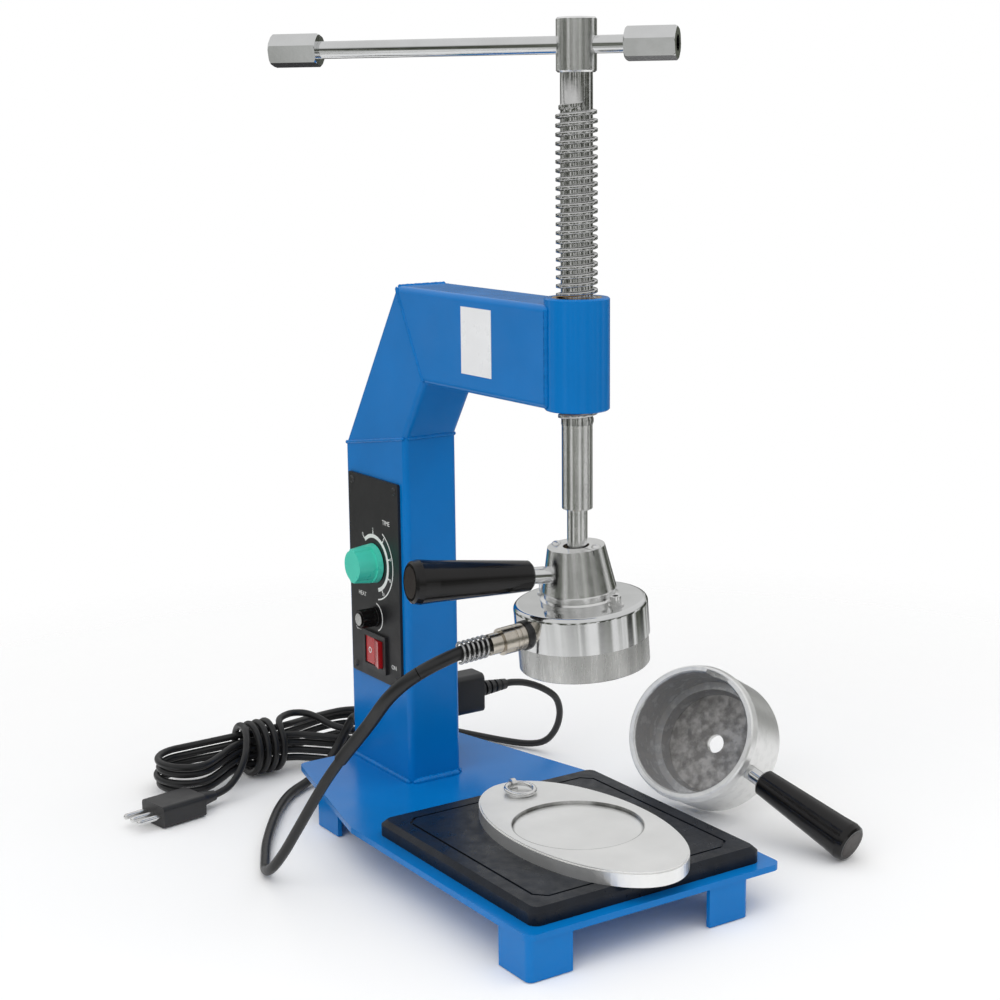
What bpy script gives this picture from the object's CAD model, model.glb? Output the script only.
# Looks of the tyre repair press: camera, cords, thread, welds, panel print and materials
import math

import bmesh
import bpy
from mathutils import Matrix, Vector


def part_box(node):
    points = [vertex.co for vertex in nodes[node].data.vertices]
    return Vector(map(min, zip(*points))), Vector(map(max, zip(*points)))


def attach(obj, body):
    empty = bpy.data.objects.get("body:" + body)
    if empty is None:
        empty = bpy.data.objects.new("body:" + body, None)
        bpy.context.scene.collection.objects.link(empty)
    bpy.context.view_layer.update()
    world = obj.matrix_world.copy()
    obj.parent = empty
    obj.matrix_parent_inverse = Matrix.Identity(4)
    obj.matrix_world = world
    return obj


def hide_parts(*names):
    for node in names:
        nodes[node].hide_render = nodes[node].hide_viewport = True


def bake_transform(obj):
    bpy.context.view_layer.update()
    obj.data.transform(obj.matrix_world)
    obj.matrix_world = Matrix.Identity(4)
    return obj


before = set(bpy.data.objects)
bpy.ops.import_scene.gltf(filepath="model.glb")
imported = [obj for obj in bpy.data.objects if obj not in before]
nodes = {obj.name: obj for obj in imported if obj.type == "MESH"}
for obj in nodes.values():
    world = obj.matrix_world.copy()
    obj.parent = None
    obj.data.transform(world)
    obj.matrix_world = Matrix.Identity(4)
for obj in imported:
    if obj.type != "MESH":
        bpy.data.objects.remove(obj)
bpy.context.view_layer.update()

# Sizes repeated from the part's source, in millimetres from the screw axis
MM = 0.001
TOUCH = 0.05
SCREW_X = 85.5
SCREW_Y = -38.5
BALL_Z = 209.5
HEAD_TILT = math.radians(5)
GLAND_TURN = math.radians(-92)
GLAND_Z = -34.8
GLAND_END = 65
SPRING_L = 19


def at(x, y, z):
    """A point in millimetres from the screw axis, as a point in metres of the shared frame."""
    return Vector(((x + SCREW_X) * MM, (y + SCREW_Y) * MM, z * MM))


def head_point(x, y, z):
    """A point in millimetres from the ball in the tilted head, measured from the screw axis."""
    c = math.cos(HEAD_TILT)
    s = math.sin(HEAD_TILT)
    return Vector((x, y * c - z * s, y * s + z * c + BALL_Z))


def put(obj):
    """Puts an object into the scene."""
    bpy.context.scene.collection.objects.link(obj)
    return obj


# Camera at the photograph's place
def make_camera():
    data = bpy.data.cameras.new("camera")
    data.sensor_width = 36
    data.lens = 67.65
    data.clip_start = 0.01
    data.clip_end = 50
    camera = put(bpy.data.objects.new("camera", data))
    forward = Vector((-0.8186, 0.5389, -0.1987)).normalized()
    right = forward.cross(Vector((0, 0, 1))).normalized()
    up = right.cross(forward)
    roll = math.radians(-0.59)
    side = right * math.cos(roll) + up * math.sin(roll)
    top = up * math.cos(roll) - right * math.sin(roll)
    matrix = Matrix((side, top, -forward)).transposed().to_4x4()
    matrix.translation = at(874.62, -629.86, 466.33)
    camera.matrix_world = matrix
    bpy.context.scene.camera = camera


make_camera()


# Paths and tubes
STEEP = 0.9


def smooth_step(v):
    """Rises gently from 0 to 1 while v does."""
    c = min(max(v, 0.0), 1.0)
    return c * c * (3 - 2 * c)


def spline_path(points, steps):
    """A smooth path through points, with steps between each pair."""
    found = []
    last = len(points) - 1
    for i in range(last):
        a = points[max(i - 1, 0)]
        b = points[i]
        c = points[i + 1]
        d = points[min(i + 2, last)]
        for k in range(steps):
            t = k / steps
            p = 0.5 * (2 * b + (c - a) * t + (2 * a - 5 * b + 4 * c - d) * t * t
                       + (3 * b - a - 3 * c + d) * t ** 3)
            found.append(p)
    found.append(points[last])
    return found


def frames_along(points):
    """Tangent, normal and side of a path at each point, carried along without twist."""
    last = len(points) - 1
    found = []
    normal = None
    for i in range(last + 1):
        tangent = (points[min(i + 1, last)] - points[max(i - 1, 0)]).normalized()
        if normal is None:
            normal = Vector((0, 0, 1)) if abs(tangent.z) < STEEP else Vector((1, 0, 0))
        normal = (normal - tangent * normal.dot(tangent)).normalized()
        found.append((tangent, normal, tangent.cross(normal)))
    return found


def mesh_object(name, verts, faces, smooth=True, angle=40):
    """A mesh in the scene, smooth but for edges sharper than the angle."""
    mesh = bpy.data.meshes.new(name)
    mesh.from_pydata([tuple(v) for v in verts], [], faces)
    mesh.update()
    if smooth:
        mesh.polygons.foreach_set("use_smooth", [True] * len(mesh.polygons))
        mesh.set_sharp_from_angle(angle=math.radians(angle))
    return put(bpy.data.objects.new(name, mesh))


def tube(name, points, radii, sides=20):
    """A closed tube along points; radii is one radius or one for each point."""
    if not isinstance(radii, (list, tuple)):
        radii = [radii] * len(points)
    verts = []
    faces = []
    for p, r, (_, u, w) in zip(points, radii, frames_along(points)):
        for k in range(sides):
            a = 2 * math.pi * k / sides
            verts.append(p + (u * math.cos(a) + w * math.sin(a)) * r)
    for i in range(len(points) - 1):
        for k in range(sides):
            a = i * sides + k
            b = i * sides + (k + 1) % sides
            faces.append((a, b, b + sides, a + sides))
    faces.append(tuple(range(sides - 1, -1, -1)))
    start = (len(points) - 1) * sides
    faces.append(tuple(range(start, start + sides)))
    return mesh_object(name, verts, faces)


# Cords first: the mains lead with its bound hank, in one spline
MAINS_D = 5
MAINS_STEPS = 4
LEAD_START = Vector((-204, 83.05, 70))
LEAD_STRAIGHT = 6
LEAD_ROUTE = [(-205, 102, 67), (-206, 117, 60), (-208, 130, 50), (-213, 137, 36), (-221, 139, 21),
              (-232, 137, 9), (-246, 131, 4), (-266, 121, 3), (-290, 110, 3), (-314, 99, 3), (-333, 86, 3),
              (-340, 72, 3), (-336, 59, 3), (-328, 52, 3)]
LEAD_JOIN = 8
# Hank: its middle, its two round ends and the waist that the wraps draw in
HANK_X = -314
HANK_Y = -44
HANK_HALF = 94
HANK_FAR_R = 33
HANK_NEAR_R = 22
HANK_FAR_Y = HANK_HALF - HANK_FAR_R
HANK_NEAR_Y = HANK_NEAR_R - HANK_HALF
HANK_WAIST_W = 5.5
HANK_WAIST_Y = -16
HANK_WAIST_L = 14
# Loops of the hank: how they differ, rise and end, and the parts of a loop that are its round ends
HANK_SLACK = 7
HANK_BEAT = math.radians(230)
HANK_LAYER = MAINS_D + 0.8
HANK_REST = 0.5
HANK_LIFT = 5.4
HANK_END = 4.15
HANK_RING = 40
FAR_PART = 0.115
NEAR_PART = 0.085
# Wraps round the waist
WRAP_RING = 18
WRAP_FIRST = -1
WRAP_LAST = 67
WRAP_PITCH = 6.4
WRAP_START = -4
WRAP_REST = 0.3
WRAP_GAP = 0.95
WRAP_LAYERS = 1.75
WRAP_R = math.hypot(HANK_WAIST_W, WRAP_LAYERS * HANK_LAYER) + MAINS_D + WRAP_GAP
# From the last loop to the first wrap, and from the last wrap to the plug
CROSS_ROUTE = [(15, 35, 31.6), (6, 30, 35.2), (-2, 24, 37.6), (-5.5, 16, 38.4), (-4.5, 8.5, 38.3),
               (1, 1, 37.9), (8.5, -2.6, 35.6), (13.9, -3.4, 30.9)]
TAIL_ROUTE = [(3.2, -28.6, 37.6), (10, -30.5, 36.4), (18, -34, 33), (28, -40, 26.5), (36, -49, 18),
              (41, -60, 10.8)]
PLUG = Vector((-266, -148, 7.5))
PLUG_TURN = math.radians(-80)
PLUG_L = 34
PLUG_BOOT = 16
PLUG_BACK = PLUG_L / 2 + PLUG_BOOT + TOUCH


def hank_hold(y):
    """How far the wraps draw the loops in at a place along the hank, from 0 to 1."""
    far = HANK_WAIST_Y + HANK_WAIST_L
    near = HANK_WAIST_Y - HANK_WAIST_L
    if y > far:
        return 1 - smooth_step((y - far) / (HANK_FAR_Y - far))
    return 1 - smooth_step((near - y) / (near - HANK_NEAR_Y))


def half_loop(v, far_r, near_r):
    """One half of a loop, from its far end at 0 to its near end at 0.5."""
    if v < FAR_PART:
        a = math.pi / 2 * v / FAR_PART
        return far_r * math.sin(a), HANK_FAR_Y + far_r * math.cos(a)
    if v > 0.5 - NEAR_PART:
        a = math.pi / 2 * (0.5 - v) / NEAR_PART
        return near_r * math.sin(a), HANK_NEAR_Y - near_r * math.cos(a)
    part = (v - FAR_PART) / (0.5 - FAR_PART - NEAR_PART)
    y = HANK_FAR_Y + (HANK_NEAR_Y - HANK_FAR_Y) * part
    r = far_r if y > HANK_WAIST_Y else near_r
    return r - (r - HANK_WAIST_W) * hank_hold(y), y


def loop_point(t):
    """A point of the hank after t loops."""
    u = t - math.floor(t)
    slack = HANK_SLACK * (1 - math.cos(HANK_BEAT * t)) / 2
    x, y = half_loop(min(u, 1 - u), HANK_FAR_R - slack, HANK_NEAR_R - slack / 3)
    z = MAINS_D / 2 + HANK_REST + HANK_LAYER * t + HANK_LIFT * hank_hold(y)
    return Vector((HANK_X + (x if u < 0.5 else -x), HANK_Y + y, z))


def wrap_point(t):
    """A point of the binding after t wraps."""
    turn = 2 * math.pi * t
    return Vector((HANK_X + WRAP_R * math.cos(turn), HANK_Y + WRAP_START - WRAP_PITCH * t,
                   WRAP_R + MAINS_D / 2 + WRAP_REST - WRAP_R * math.sin(turn)))


def by_hank(route):
    """Points measured from the middle of the hank, as points from the screw axis."""
    return [Vector((HANK_X + x, HANK_Y + y, z)) for x, y, z in route]


def mains_points():
    """The whole mains lead, from the connector through the hank and its wraps to the plug."""
    lead = [LEAD_START, LEAD_START + Vector((0, LEAD_STRAIGHT, 0))]
    lead += [Vector(p) for p in LEAD_ROUTE]
    lead.append(Vector((HANK_X - LEAD_JOIN, HANK_Y + HANK_HALF, MAINS_D / 2 + HANK_REST)))
    hank = [loop_point(i / HANK_RING) for i in range(round(HANK_END * HANK_RING) + 1)]
    hank += by_hank(CROSS_ROUTE)
    hank += [wrap_point(i / WRAP_RING) for i in range(WRAP_FIRST, WRAP_LAST + 1)]
    heading = Vector((math.cos(PLUG_TURN), math.sin(PLUG_TURN), 0))
    tail = by_hank(TAIL_ROUTE)
    tail.append(PLUG - heading * PLUG_BACK)
    return spline_path(lead + hank + tail, MAINS_STEPS)


def curve_cord(name, points, radius):
    """A round cord along points, with its radius held by each point."""
    data = bpy.data.curves.new(name, "CURVE")
    data.dimensions = "3D"
    data.bevel_depth = 1
    data.bevel_resolution = 5
    data.use_fill_caps = True
    spline = data.splines.new("POLY")
    spline.points.add(len(points) - 1)
    for target, p in zip(spline.points, points):
        target.co = (p.x, p.y, p.z, 1)
        target.radius = radius
    spline.use_smooth = True
    return put(bpy.data.objects.new(name, data))


mains_path = [at(*p) for p in mains_points()]
mains = curve_cord("mains_cord", mains_path, MAINS_D / 2 * MM)
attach(mains, "frame")
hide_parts("mains_lead", "mains_hank")

# Heater cable: sleeve in three stretches that bend over the head's joints, then the plain cable
SLEEVE_D = 8
HEATER_D = 6.5
STEPS = 8
SLEEVE_ROUTE = [(-9, -104.5, 158), (-23, -115.2, 143.2), (-42, -119, 122), (-57, -124, 104), (-64, -127, 95)]
FLOOR_END = (-139, -142, 4)
HEATER_ROUTE = [(-64, -127, 95), (-75, -131, 80), (-87, -135, 62), (-101, -139, 41), (-113, -142, 24),
                (-125, -144, 11), FLOOR_END, (-156, -134, 3.8), (-180, -121, 3.8), (-208, -103, 3.8),
                (-234, -84, 3.8), (-254, -65, 3.8), (-266, -46, 4.5), (-271, -30, 10), (-273, -17, 23),
                (-270, -10, 37), (-264.05, -8, 46), (-258.05, -8, 46)]
gland_way = Vector((math.cos(GLAND_TURN), math.sin(GLAND_TURN), 0))
gland_rise = Vector((0, 0, GLAND_Z))
sleeve_start = head_point(*(gland_way * (GLAND_END + TOUCH) + gland_rise))
spring_end = head_point(*(gland_way * (GLAND_END + TOUCH + SPRING_L) + gland_rise))
sleeve_points = [sleeve_start, spring_end] + [Vector(p) for p in SLEEVE_ROUTE]
sleeve_path = [at(*p) for p in spline_path(sleeve_points, STEPS)]
# Where one stretch of the sleeve ends and the next begins
upper_cut = 2 * STEPS
lower_cut = 4 * STEPS
sleeve_upper = tube("sleeve_upper", sleeve_path[:upper_cut + 1], SLEEVE_D / 2 * MM)
sleeve_lower = tube("sleeve_lower", sleeve_path[upper_cut:lower_cut + 1], SLEEVE_D / 2 * MM)
sleeve_tail = tube("sleeve_tail", sleeve_path[lower_cut:], SLEEVE_D / 2 * MM)
heater_path = [at(*p) for p in spline_path([Vector(p) for p in reversed(HEATER_ROUTE)], STEPS)]
heater = tube("heater_lead", heater_path, HEATER_D / 2 * MM)
for piece in (heater, sleeve_tail):
    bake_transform(piece)
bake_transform(sleeve_lower)
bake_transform(sleeve_upper)
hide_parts("heater_cable")
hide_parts("heater_sleeve_lower")
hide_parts("heater_sleeve_upper")


# Materials
COAT_ROUGH = 0.12
LEAST_ROUGH = 0.02
GRAIN_DEPTH = 0.0004
PATCH_RATE = 2.3
# Nearly all values of the noise lie between these two
NOISE_LOW = 0.3
NOISE_HIGH = 0.7


def node_of(tree, kind, **values):
    """A new shader node with the given settings."""
    node = tree.nodes.new(kind)
    for key, value in values.items():
        setattr(node, key, value)
    return node


def noise(tree, coords, scale, detail, stretch=None):
    """Noise over the coordinates, drawn out along an axis where a stretch is given."""
    node = node_of(tree, "ShaderNodeTexNoise")
    node.inputs["Scale"].default_value = scale
    node.inputs["Detail"].default_value = detail
    source = coords
    if stretch:
        mapping = node_of(tree, "ShaderNodeMapping")
        mapping.inputs["Scale"].default_value = stretch
        tree.links.new(coords, mapping.inputs["Vector"])
        source = mapping.outputs["Vector"]
    tree.links.new(source, node.inputs["Vector"])
    return node.outputs["Fac"]


def ramp(tree, value, stops):
    """A colour for each value, from stops of a position and a colour."""
    node = node_of(tree, "ShaderNodeValToRGB")
    elements = node.color_ramp.elements
    elements[0].position = stops[0][0]
    elements[0].color = (*stops[0][1], 1)
    elements[1].position = stops[-1][0]
    elements[1].color = (*stops[-1][1], 1)
    for position, color in stops[1:-1]:
        element = elements.new(position)
        element.color = (*color, 1)
    tree.links.new(value, node.inputs["Fac"])
    return node.outputs["Color"]


def ranged(tree, value, low, high, start=NOISE_LOW, end=NOISE_HIGH):
    """Carries a value from start and end over to low and high, and holds it there."""
    node = node_of(tree, "ShaderNodeMapRange")
    node.inputs["From Min"].default_value = start
    node.inputs["From Max"].default_value = end
    node.inputs["To Min"].default_value = low
    node.inputs["To Max"].default_value = high
    tree.links.new(value, node.inputs["Value"])
    return node.outputs["Result"]


def mixed(tree, share, first, second):
    """The first shader where the share is 0, and the second where it is 1."""
    node = node_of(tree, "ShaderNodeMixShader")
    tree.links.new(share, node.inputs["Fac"])
    tree.links.new(first, node.inputs[1])
    tree.links.new(second, node.inputs[2])
    return node.outputs["Shader"]


def tinted(color, factor):
    """A lighter or darker shade of a colour."""
    return tuple(min(v * factor, 1.0) for v in color)


def surface(name, color, rough, metal=0.0, coat=0.0, vary=0.08, scale=45, rough_vary=0.05, bump=0.05,
            grain=900, stretch=None, specular=0.5):
    """A material with soft colour variation, uneven gloss and a fine grain."""
    mat = bpy.data.materials.new(name)
    mat.use_nodes = True
    tree = mat.node_tree
    shader = tree.nodes["Principled BSDF"]
    coords = node_of(tree, "ShaderNodeTexCoord").outputs["Object"]
    shader.inputs["Metallic"].default_value = metal
    shader.inputs["Coat Weight"].default_value = coat
    shader.inputs["Coat Roughness"].default_value = COAT_ROUGH
    shader.inputs["Specular IOR Level"].default_value = specular
    broad = noise(tree, coords, scale, 4.0)
    tints = ramp(tree, broad, [(NOISE_LOW, tinted(color, 1 - vary)), (NOISE_HIGH, tinted(color, 1 + vary))])
    tree.links.new(tints, shader.inputs["Base Color"])
    patch = noise(tree, coords, scale * PATCH_RATE, 5.0, stretch)
    gloss = ranged(tree, patch, max(rough - rough_vary, LEAST_ROUGH), rough + rough_vary)
    tree.links.new(gloss, shader.inputs["Roughness"])
    fine = noise(tree, coords, grain, 2.0, stretch)
    node = node_of(tree, "ShaderNodeBump")
    node.inputs["Strength"].default_value = bump
    node.inputs["Distance"].default_value = GRAIN_DEPTH
    tree.links.new(fine, node.inputs["Height"])
    tree.links.new(node.outputs["Normal"], shader.inputs["Normal"])
    return mat


BLUE = (0.0004, 0.168, 0.51)
paint = surface("blue_enamel", BLUE, 0.23, vary=0.06, scale=18, rough_vary=0.04, bump=0.05, grain=300,
                specular=0.22)
weld_paint = surface("blue_weld", tinted(BLUE, 0.95), 0.18, vary=0.1, scale=90, bump=0.15, grain=500,
                     specular=0.22)
chrome = surface("bright_chrome", (0.66, 0.665, 0.665), 0.09, 1.0, vary=0.05, rough_vary=0.035, bump=0.02,
                 grain=300)
thread_steel = surface("rolled_thread", (0.56, 0.56, 0.555), 0.16, 1.0, vary=0.1, scale=120, rough_vary=0.07,
                       bump=0.08)
turned_steel = surface("turned_steel", (0.82, 0.82, 0.815), 0.16, 1.0, rough_vary=0.05, bump=0.1,
                       stretch=(1, 1, 12))
small_steel = surface("small_steel", (0.72, 0.72, 0.715), 0.22, 1.0, vary=0.1, scale=200, bump=0.05)
turned_alloy = surface("turned_alloy", (0.5, 0.5, 0.49), 0.3, 1.0, vary=0.16, scale=40, rough_vary=0.1,
                       bump=0.06, grain=260, stretch=(9, 9, 1))
plate_alloy = surface("ground_alloy", (0.9, 0.9, 0.89), 0.34, 0.85, vary=0.05, scale=30, rough_vary=0.04,
                      bump=0.025, grain=160, stretch=(1, 9, 1))
cast_alloy = surface("cast_alloy", (0.6, 0.6, 0.59), 0.4, 0.75, vary=0.16, scale=70, rough_vary=0.1, bump=0.6)
grip_black = surface("phenolic_black", (0.006, 0.0055, 0.0055), 0.18, coat=0.05, vary=0.2, bump=0.02,
                     specular=0.3)
plastic_black = surface("moulded_black", (0.014, 0.014, 0.015), 0.36, vary=0.15, bump=0.1, grain=1200)
panel_black = surface("printed_panel", (0.012, 0.012, 0.013), 0.42, vary=0.15, bump=0.08, grain=1500)
rubber = surface("pad_rubber", (0.006, 0.0085, 0.014), 0.34, vary=0.3, scale=60, rough_vary=0.1, bump=0.2,
                 grain=700, specular=0.25)
cord_black = surface("cord_sheath", (0.009, 0.009, 0.0095), 0.36, vary=0.2, scale=120, bump=0.1, grain=900,
                     specular=0.4)
mint = surface("mint_plastic", (0.065, 0.62, 0.47), 0.32, vary=0.05, bump=0.05)
red = surface("red_plastic", (0.45, 0.012, 0.016), 0.22, coat=0.4, vary=0.08, bump=0.02)
nickel = surface("dull_nickel", (0.52, 0.48, 0.42), 0.2, 1.0, vary=0.1, scale=150, bump=0.06)
bronze = surface("bearing_bronze", (0.5, 0.34, 0.16), 0.3, 1.0, vary=0.1)
print_white = surface("panel_print", (0.8, 0.8, 0.78), 0.5, vary=0.04, bump=0.03)
label_white = surface("plain_label", (0.86, 0.87, 0.88), 0.3, vary=0.02, bump=0.03)
mica = surface("mica_sheet", (0.55, 0.48, 0.33), 0.5, vary=0.2)
board_green = surface("board_green", (0.04, 0.25, 0.09), 0.4, vary=0.15)
ivory = surface("ivory_plastic", (0.7, 0.67, 0.58), 0.4)
black_steel = surface("black_steel", (0.06, 0.06, 0.06), 0.35, 0.8, vary=0.2, scale=200, bump=0.1)
butt_brown = surface("hollow_butt", (0.012, 0.006, 0.004), 0.4, vary=0.3, scale=150, bump=0.2)
dark_spring = surface("spring_steel", (0.4, 0.4, 0.4), 0.25, 1.0, vary=0.15, scale=200)

NODE_LOOKS = {
    paint: "base_plate foot_front_near foot_front_far foot_rear_near foot_rear_far column elbow arm "
           "screw_boss",
    chrome: "tommy_bar bar_nut_long bar_nut_short heater_cover head_handle_rod cup_handle_rod",
    turned_steel: "handle_hub swivel_cone retaining_plate press_rod",
    small_steel: "inlet_screws retaining_screws cap_screws ring_eye lifting_ring plug_pins heating_element",
    turned_alloy: "heating_plate",
    plate_alloy: "base_mould",
    cast_alloy: "cup_mould",
    grip_black: "head_handle_grip cup_handle_grip temp_knob",
    plastic_black: "power_inlet mains_connector mains_plug switch_body cable_grommet gland_seal",
    panel_black: "control_panel",
    rubber: "rubber_pad",
    mint: "timer_knob",
    red: "rocker",
    nickel: "cable_gland",
    black_steel: "panel_screws",
    bronze: "screw_nut swivel_cup swivel_ring",
    mica: "insulation_disc",
    board_green: "control_board temp_control",
    ivory: "timer_body thermostat",
}
for look, names in NODE_LOOKS.items():
    for name in names.split():
        for place in nodes[name].material_slots:
            place.material = look


def dress(obj, look, body=None):
    """Gives an object its look and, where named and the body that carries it."""
    obj.data.materials.clear()
    obj.data.materials.append(look)
    if body:
        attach(obj, body)
    return obj


for piece in (mains, heater, sleeve_tail, sleeve_lower, sleeve_upper):
    dress(piece, cord_black)


# Lead screw with a rounded rolled thread
def make_thread():
    """The screw as one closed surface, from columns of points that climb one turn on their way round."""
    low = 292.5
    top = 491.5
    pitch = 5
    turns = 36
    root = 9.25
    crest = 12
    columns = 64
    profile = [(0.0, 0.0), (0.05, 0.45), (0.11, 0.9), (0.16, 1.0), (0.47, 1.0), (0.52, 0.9), (0.58, 0.45),
               (0.63, 0.0)]
    count = len(profile)
    rows = count * turns + 2
    verts = []
    for k in range(columns):
        a = 2 * math.pi * k / columns
        c = math.cos(a)
        s = math.sin(a)
        verts.append(at(root * c, root * s, low))
        for j in range(count * turns):
            t = j // count + k / columns
            run = min(max(min(t, turns - t), 0), 1)
            step, high = profile[j % count]
            r = root + (crest - root) * high * run
            verts.append(at(r * c, r * s, low + TOUCH + pitch * (t + step)))
        verts.append(at(root * c, root * s, top))
    faces = []
    for k in range(columns - 1):
        for i in range(rows - 1):
            a = k * rows + i
            b = a + rows
            faces.append((a, b, b + 1, a + 1))
    # The seam joins the last column to the first, one turn further up
    seam = (columns - 1) * rows
    last = count * turns
    for i in range(1, last - count):
        faces.append((seam + i, i + count, i + count + 1, seam + i + 1))
    # Fans close the two run-outs
    faces.append((seam + 1, seam, 0))
    for i in range(count + 1):
        faces.append((seam + 1, i, i + 1))
    faces.append((last, last + 1, seam + last + 1))
    for i in range(count + 1):
        faces.append((last, seam + last + 1 - i, seam + last - i))
    # Flat ends
    faces.append(tuple(k * rows for k in range(columns - 1, -1, -1)))
    faces.append(tuple((k + 1) * rows - 1 for k in range(columns)))
    obj = mesh_object("rolled_screw", verts, faces, angle=60)
    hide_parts("lead_screw")
    return dress(obj, thread_steel, "screw")


make_thread()


# Relief spring round the heater cable
def make_spring():
    turns = 6
    ring = 28
    wire = 1.6
    wire_sides = 10
    reach = 5.9
    start = GLAND_END + wire / 2 + TOUCH
    up = Vector((0, 0, 1))
    side = gland_way.cross(up)
    points = []
    count = turns * ring
    for i in range(count + 1):
        a = 2 * math.pi * turns * i / count
        p = gland_way * (start + SPRING_L * i / count)
        p += up * (GLAND_Z - reach * math.cos(a)) + side * reach * math.sin(a)
        points.append(at(*head_point(*p)))
    obj = tube("coil_relief", points, wire / 2 * MM, wire_sides)
    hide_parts("relief_spring")
    return dress(obj, dark_spring, "head")


make_spring()


# Weld beads, painted over
BEAD_STEP = 0.6
BEAD_LEAST = 8
BEAD_SIDES = 12
BEAD_RIPPLE = 0.06
RIPPLE_L = 3.1
WAVE_RATE = 0.9
WAVE_START = 1.3
TAPER_L = 1.4
TAPER_LEAST = 0.25
# Beads on both sides of the tubes: name, ends in millimetres from the screw axis, radius
SIDE_BEADS = (
    ("weld_elbow_arm_", (-139.5, 19.6, 303), (-171, 19.6, 361.5), 1.2),
    ("weld_column_elbow_", (-243, 19.6, 250.8), (-165, 19.6, 263.3), 1.3),
    ("weld_boss_", (-3.6, 18.9, 303), (-3.6, 18.9, 361.5), 1.5),
    ("weld_foot_", (-243, 20.4, 28.6), (-165, 20.4, 28.6), 1.9),
)
# Beads across the tubes: name, place along the base, half length, height, radius
CROSS_BEADS = (
    ("weld_foot_front", -163.6, 18.5, 28.6, 2.6),
    ("weld_foot_rear", -243.6, 18.5, 28.6, 2.2),
    ("weld_elbow_front", -164.2, 18, 263.3, 1.3),
    ("weld_elbow_under", -139.3, 18, 302.2, 1.2),
    ("weld_elbow_rear", -243.8, 18, 250.6, 1.2),
    ("weld_elbow_top", -171.5, 18, 361.8, 1.1),
)


def bead(name, a, b, radius):
    """A rippled bead from a to b, both in millimetres from the screw axis."""
    start = Vector(a)
    end = Vector(b)
    length = (end - start).length
    count = max(int(length / BEAD_STEP), BEAD_LEAST)
    points = []
    radii = []
    for i in range(count + 1):
        t = i / count
        p = start.lerp(end, t)
        points.append(at(*p))
        ripple = 1 + BEAD_RIPPLE * math.sin(2 * math.pi * t * length / RIPPLE_L)
        ripple += BEAD_RIPPLE * math.sin(t * length * WAVE_RATE + WAVE_START)
        taper = min(1.0, min(t, 1 - t) * length / (TAPER_L * radius) + TAPER_LEAST)
        radii.append(radius * ripple * taper * MM)
    return dress(tube(name, points, radii, BEAD_SIDES), weld_paint, "frame")


for side, tag in ((-1, "near"), (1, "far")):
    for name, (ax, ay, az), (bx, by, bz), radius in SIDE_BEADS:
        bead(name + tag, (ax, side * ay, az), (bx, side * by, bz), radius)
for name, x, half, z, radius in CROSS_BEADS:
    bead(name, (x, -half, z), (x, half, z), radius)


# Print and small parts of the control panel; x to the right and z up, seen from the panel's side
PANEL_X = -204
PANEL_FACE = -22
TIMER_Z = 173.5
TEMP_Z = 136
SWITCH_Z = 111.5
PRINT_GAP = 0.06
PRINT_T = 0.03
BAND_IN = 17.2
BAND_OUT = 19.8
TICK_OUT = 21.6
TICK_HALF = 1.4
NUMBER_R = 22.8
NUMBER_SIZE = 3.4
NUMBER_ANGLES = (-60, -22, 16, 54, 92, 130)
TIME_SIZE = 4.6
WORD_SIZE = 4.2


def panel_arc(name, z, inner, outer, start, end, step=4):
    """A printed arc about a control's centre; angles in degrees, counted up from the right."""
    verts = []
    count = max(int(abs(end - start) / step), 2)
    for i in range(count + 1):
        a = math.radians(start + (end - start) * i / count)
        for r in (inner, outer):
            verts.append(at(PANEL_X + r * math.cos(a), PANEL_FACE - PRINT_GAP, z + r * math.sin(a)))
    faces = [(2 * i, 2 * i + 1, 2 * i + 3, 2 * i + 2) for i in range(count)]
    obj = mesh_object(name, verts, faces, smooth=False)
    return dress(obj, print_white, "frame")


def panel_words(name, words, x, z, size):
    """Printed words about a point of the panel."""
    data = bpy.data.curves.new(name, "FONT")
    data.body = words
    data.size = size * MM
    data.align_x = "CENTER"
    data.align_y = "CENTER"
    data.extrude = PRINT_T * MM
    obj = put(bpy.data.objects.new(name, data))
    obj.rotation_euler = (math.radians(90), 0, 0)
    obj.location = at(x, PANEL_FACE - PRINT_GAP, z)
    bpy.context.view_layer.update()
    return dress(obj, print_white, "frame")


panel_arc("dial_band", TIMER_Z, BAND_IN, BAND_OUT, -75, 130)
panel_arc("dial_line", TIMER_Z, 24.6, 25.5, -80, 62)
for k, angle in enumerate(NUMBER_ANGLES):
    panel_arc("dial_tick_" + str(k), TIMER_Z, BAND_OUT, TICK_OUT, angle - TICK_HALF, angle + TICK_HALF)
    spot = math.radians(angle)
    panel_words("dial_number_" + str(k), str(10 - 2 * k), PANEL_X + NUMBER_R * math.cos(spot),
                TIMER_Z + NUMBER_R * math.sin(spot), NUMBER_SIZE)
panel_arc("heat_line", TEMP_Z, 9.3, 10.2, -70, 80)
panel_words("legend_time", "TIME", PANEL_X + 17, TIMER_Z + 30, TIME_SIZE)
panel_words("legend_heat", "HEAT", PANEL_X - 17, TEMP_Z + 13, WORD_SIZE)
panel_words("legend_off", "OFF", PANEL_X - 23, SWITCH_Z + 12, WORD_SIZE)
panel_words("legend_on", "ON", PANEL_X + 24, SWITCH_Z - 6, WORD_SIZE)


# Flat marks laid on a face, their sizes in metres
MARK_GAP = 0.00008
MARK_OUT = 0.0021
MARK_IN = 0.0014
CAP_GAP = 0.00005
CAP_RIM = 0.0028
# Faces whose normal has a smaller y than this look out of the panel
OUTWARD = -0.7


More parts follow.
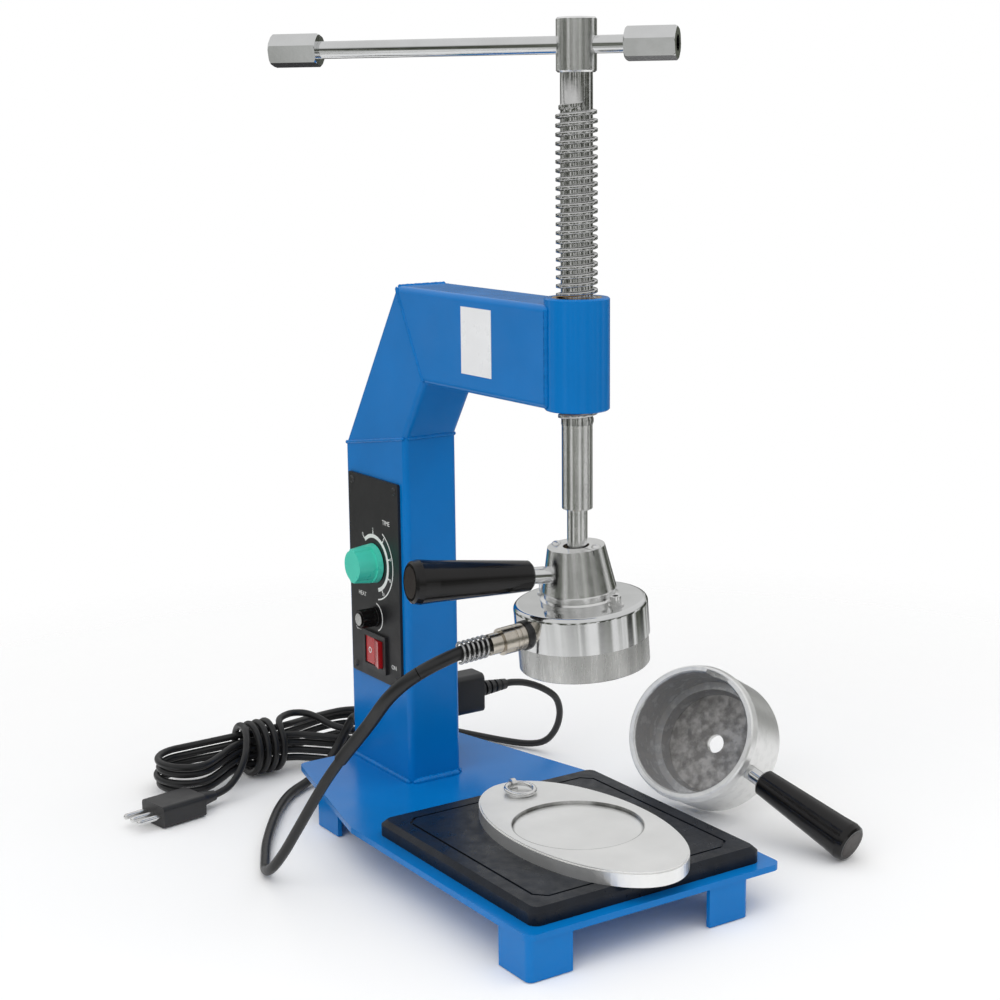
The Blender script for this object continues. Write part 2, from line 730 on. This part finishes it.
def disc(name, centre, normal, outer, inner=0.0, sides=40):
    """A flat disc, or a ring where it has an inner radius, facing along the normal."""
    turn = Vector(normal).normalized().to_track_quat("Z", "Y")
    radii = (inner, outer) if inner > 0 else (outer,)
    verts = []
    for k in range(sides):
        a = 2 * math.pi * k / sides
        for r in radii:
            verts.append(centre + turn @ Vector((r * math.cos(a), r * math.sin(a), 0)))
    faces = [tuple(range(sides))]
    if inner > 0:
        count = 2 * sides
        faces = [(a, a + 1, (a + 3) % count, (a + 2) % count) for a in range(0, count, 2)]
    return mesh_object(name, verts, faces, smooth=False)


def face_patch(node, left):
    """Middle and normal of the outward faces on one half of a rocker."""
    obj = nodes[node]
    middle_x = sum(corner.x for corner in (obj.matrix_world @ Vector(c) for c in obj.bound_box)) / 8
    middle = Vector()
    normal = Vector()
    total = 0.0
    for face in obj.data.polygons:
        spot = obj.matrix_world @ face.center
        way = (obj.matrix_world.to_3x3() @ face.normal).normalized()
        if way.y < OUTWARD and (spot.x < middle_x) == left:
            middle += spot * face.area
            normal += way * face.area
            total += face.area
    return middle / total, normal.normalized()


def lay_marks():
    """The ring on the rocker and the pale cap of the temperature knob."""
    spot, way = face_patch("rocker", True)
    ring = disc("rocker_mark", spot + way * MARK_GAP, way, MARK_OUT, MARK_IN)
    dress(ring, print_white, "switch")
    low, high = (Vector(corner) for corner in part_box("temp_knob"))
    tip = Vector(((low.x + high.x) / 2, low.y - CAP_GAP, (low.z + high.z) / 2))
    cap = disc("knob_cap", tip, (0, -1, 0), (high.x - low.x) / 2 - CAP_RIM)
    dress(cap, small_steel, "temperature")


lay_marks()

# Cup mould lying on its side: its place, and a look that tells its rough floor from its turned rim
CUP_DIP = math.radians(27.2)
CUP_TURN = math.radians(-67.3)
CUP_HANDLE_TURN = math.radians(67.95)
CUP_R = 46
CUP_H = 48
CUP_EDGE = 2
CUP_HANDLE_Z = CUP_H * 0.715
CUP_GRIP = CUP_R + 11.7
CUP = Vector((-79.8, 177.4, CUP_R * math.cos(CUP_DIP) - CUP_EDGE * math.sin(CUP_DIP)))
# Borders of its look in metres, from where each change begins to where it ends
BORE_EDGE = (0.0411, 0.0416)
FLOOR_TOP = (0.0064, 0.0072)
FLOOR_EDGE = (0.0355, 0.036)
BOTTOM_EDGE = (0.003, 0.0045)
PIT_DEPTH = 0.0015
cup_tip = Matrix.Rotation(CUP_TURN, 3, "Z") @ Matrix.Rotation(math.pi / 2 - CUP_DIP, 3, "Y")


def math_node(tree, operation, a, b):
    """A sum or product of changing values."""
    node = node_of(tree, "ShaderNodeMath", operation=operation)
    tree.links.new(a, node.inputs[0])
    tree.links.new(b, node.inputs[1])
    return node.outputs["Value"]


def round_place(tree, coords, name, place):
    """The height and the radius of a point about an axis of the named piece."""
    local = nodes[name].matrix_world.inverted() @ place
    mapping = node_of(tree, "ShaderNodeMapping", vector_type="TEXTURE")
    mapping.inputs["Location"].default_value = local.translation
    mapping.inputs["Rotation"].default_value = local.to_euler()
    mapping.inputs["Scale"].default_value = local.to_scale()
    tree.links.new(coords, mapping.inputs["Vector"])
    split = node_of(tree, "ShaderNodeSeparateXYZ")
    tree.links.new(mapping.outputs["Vector"], split.inputs["Vector"])
    flat = node_of(tree, "ShaderNodeCombineXYZ")
    tree.links.new(split.outputs["X"], flat.inputs["X"])
    tree.links.new(split.outputs["Y"], flat.inputs["Y"])
    radius = node_of(tree, "ShaderNodeVectorMath", operation="LENGTH")
    tree.links.new(flat.outputs["Vector"], radius.inputs[0])
    return split.outputs["Z"], radius.outputs["Value"]


def cast_inside(mat):
    """Darkens the bore of the cup and roughens its floor, by height and radius in the cup."""
    tree = mat.node_tree
    shader = tree.nodes["Principled BSDF"]
    coords = node_of(tree, "ShaderNodeTexCoord").outputs["Object"]
    place = Matrix.Translation(at(*CUP)) @ cup_tip.to_4x4()
    height, radius = round_place(tree, coords, "cup_mould", place)
    bore = ranged(tree, radius, 0.42, 0, *BORE_EDGE)
    low = ranged(tree, height, 0.4, 0, *FLOOR_TOP)
    stain = ranged(tree, noise(tree, coords, 170, 9.0), -0.16, 0.16, 0.36, 0.64)
    depth = math_node(tree, "MULTIPLY_ADD", low, ranged(tree, radius, 1, 0, *FLOOR_EDGE))
    tree.links.new(bore, depth.node.inputs[2])
    within = ranged(tree, height, 0, 1, *BOTTOM_EDGE)
    share = math_node(tree, "ADD", math_node(tree, "MULTIPLY", depth, within), stain)
    tones = ramp(tree, share, [(0.0, (0.8, 0.8, 0.79)), (0.17, (0.74, 0.74, 0.73)), (0.38, (0.5, 0.5, 0.505)),
                               (0.66, (0.58, 0.565, 0.55)), (0.95, (0.33, 0.32, 0.31))])
    tree.links.new(tones, shader.inputs["Base Color"])
    tree.links.new(ranged(tree, share, 0.3, 0.58, 0, 0.9), shader.inputs["Roughness"])
    rough = noise(tree, coords, 260, 5.0)
    pits = math_node(tree, "MULTIPLY", rough, ranged(tree, share, 0.1, 1, 0.1, 0.9))
    tree.links.new(pits, tree.nodes["Bump"].inputs["Height"])
    tree.nodes["Bump"].inputs["Distance"].default_value = PIT_DEPTH


cast_inside(cast_alloy)

# Recess of the mould plate: where its dirt begins and ends, in metres from the middle
DIRT_START = (0.0382, 0.0397)
DIRT_END = (0.0401, 0.0408)
DIRT = (0.2, 0.2, 0.19, 1)


def plate_recess(mat):
    """Dirt in the corner and on the lip of the round recess in the mould plate."""
    tree = mat.node_tree
    tone = tree.nodes["Principled BSDF"].inputs["Base Color"]
    clean = tone.links[0].from_socket
    coords = node_of(tree, "ShaderNodeTexCoord").outputs["Object"]
    radius = round_place(tree, coords, "base_mould", Matrix.Translation(at(0, 0, 0)))[1]
    inner = ranged(tree, radius, 0, 1, *DIRT_START)
    outer = ranged(tree, radius, 1, 0, *DIRT_END)
    patchy = ranged(tree, noise(tree, coords, 55, 4.0), 0.45, 1, 0.35, 0.6)
    share = math_node(tree, "MULTIPLY", math_node(tree, "MULTIPLY", inner, outer), patchy)
    mix = node_of(tree, "ShaderNodeMix", data_type="RGBA")
    tree.links.new(share, mix.inputs["Factor"])
    tree.links.new(clean, mix.inputs["A"])
    mix.inputs["B"].default_value = DIRT
    tree.links.new(mix.outputs["Result"], tone)


plate_recess(plate_alloy)

# Hollow butts of the two grips
BUTT_R = 9.2
BUTT_GAP = 0.06
GRIP_L = 75
HEAD_GRIP = 31
HANDLE_TURN = math.radians(-100)
HANDLE_RISE = math.radians(8)
HANDLE_Z = -6


def lay_butts():
    flat = math.cos(HANDLE_RISE)
    way = Vector((flat * math.cos(HANDLE_TURN), flat * math.sin(HANDLE_TURN), math.sin(HANDLE_RISE)))
    root = head_point(0, 0, HANDLE_Z)
    end = head_point(*(way * (HEAD_GRIP + GRIP_L + BUTT_GAP) + Vector((0, 0, HANDLE_Z))))
    dress(disc("head_butt", at(*end), end - root, BUTT_R * MM), butt_brown, "head")
    way = cup_tip @ Vector((math.cos(CUP_HANDLE_TURN), math.sin(CUP_HANDLE_TURN), 0))
    end = CUP + cup_tip @ Vector((0, 0, CUP_HANDLE_Z)) + way * (CUP_GRIP + GRIP_L + BUTT_GAP)
    dress(disc("cup_butt", at(*end), way, BUTT_R * MM), butt_brown, "cup")


lay_butts()


# Blank label on the arm
def make_label():
    low = at(-93, -20.25, 314)
    high = at(-59.6, -20, 355)
    mesh = bpy.data.meshes.new("blank_label")
    shape = bmesh.new()
    bmesh.ops.create_cube(shape, size=1.0)
    for v in shape.verts:
        for axis in range(3):
            v.co[axis] = low[axis] if v.co[axis] < 0 else high[axis]
    shape.to_mesh(mesh)
    shape.free()
    return dress(put(bpy.data.objects.new("blank_label", mesh)), label_white, "frame")


make_label()

# Floor, light and surroundings
FLOOR_HALF = 6
FLOOR_Z = -0.0006
floor_corners = [(x * FLOOR_HALF, y * FLOOR_HALF, FLOOR_Z) for x, y in ((-1, -1), (1, -1), (1, 1), (-1, 1))]
floor_mesh = bpy.data.meshes.new("floor")
floor_mesh.from_pydata(floor_corners, [], [(0, 1, 2, 3)])
floor = put(bpy.data.objects.new("floor", floor_mesh))
floor_look = surface("pale_floor", (0.97, 0.97, 0.97), 0.8, vary=0.01, scale=2, bump=0.02, grain=200,
                     specular=0.1)


def fade_out(mat, start, end):
    """Lets the floor fade into the white surroundings with distance from the part."""
    tree = mat.node_tree
    coords = node_of(tree, "ShaderNodeTexCoord").outputs["Object"]
    far = node_of(tree, "ShaderNodeVectorMath", operation="LENGTH")
    tree.links.new(coords, far.inputs[0])
    share = ranged(tree, far.outputs["Value"], 0, 1, start, end)
    clear = node_of(tree, "ShaderNodeBsdfTransparent").outputs["BSDF"]
    look = mixed(tree, share, tree.nodes["Principled BSDF"].outputs["BSDF"], clear)
    tree.links.new(look, tree.nodes["Material Output"].inputs["Surface"])


fade_out(floor_look, 0.36, 0.8)
floor_mesh.materials.append(floor_look)


def area_light(name, place, target, size, power):
    """A square lamp that faces a target; places and size in metres, power in watts."""
    data = bpy.data.lights.new(name, "AREA")
    data.shape = "SQUARE"
    data.size = size
    data.energy = power
    lamp = put(bpy.data.objects.new(name, data))
    lamp.location = place
    # Metal mirrors the bright ceiling of the world, which stands for the lamps there
    lamp.visible_glossy = False
    way = Vector(target) - Vector(place)
    lamp.rotation_euler = way.to_track_quat("-Z", "Y").to_euler()


area_light("key_light", (0.9, -1.5, 1.6), (0, 0, 0.2), 2.3, 22)
area_light("side_light", (1.2, 1.0, 2.3), (0, 0, 0.25), 2.6, 13)
area_light("top_light", (-0.1, 0.1, 2.2), (0, 0, 0.2), 3.2, 17)


def background(tree, strength, color=(1, 1, 1, 1)):
    """Surroundings of one colour and strength."""
    node = node_of(tree, "ShaderNodeBackground")
    node.inputs["Color"].default_value = color
    node.inputs["Strength"].default_value = strength
    return node.outputs["Background"]


def make_world():
    world = bpy.data.worlds.new("studio")
    bpy.context.scene.world = world
    world.use_nodes = True
    tree = world.node_tree
    tree.nodes.clear()
    path = node_of(tree, "ShaderNodeLightPath")
    coords = node_of(tree, "ShaderNodeTexCoord").outputs["Generated"]
    # What polished metal mirrors: pale walls with darker openings
    walls = noise(tree, coords, 4.4, 1.5, (1, 1, 0.3))
    wall_color = ramp(tree, walls, [(0.4, (0.02, 0.022, 0.018)), (0.5, (0.12, 0.13, 0.1)),
                                    (0.55, (0.5, 0.51, 0.49)), (0.62, (1, 1, 1))])
    mirror = background(tree, 0.9)
    tree.links.new(wall_color, mirror.node.inputs["Color"])
    # A dark wall behind the part, so the rims of bright metal stand out
    toward = node_of(tree, "ShaderNodeVectorMath", operation="DOT_PRODUCT")
    tree.links.new(coords, toward.inputs[0])
    toward.inputs[1].default_value = (-0.78, 0.51, -0.36)
    behind = ranged(tree, toward.outputs["Value"], 0, 1, 0.8, 0.95)
    room = mixed(tree, behind, mirror, background(tree, 1, (0.05, 0.05, 0.052, 1)))
    # A bright ceiling over the walls
    height = node_of(tree, "ShaderNodeSeparateXYZ")
    tree.links.new(coords, height.inputs["Vector"])
    above = ranged(tree, height.outputs["Z"], 0, 1, 0.1, 0.42)
    hall = mixed(tree, above, room, background(tree, 0.82))
    # Plain fill light, the mirrored hall for glossy rays and white for the camera
    seen = mixed(tree, path.outputs["Is Glossy Ray"], background(tree, 0.55), hall)
    seen = mixed(tree, path.outputs["Is Camera Ray"], seen, background(tree, 1))
    tree.links.new(seen, node_of(tree, "ShaderNodeOutputWorld").inputs["Surface"])


make_world()
bpy.context.scene.view_settings.view_transform = "Standard"
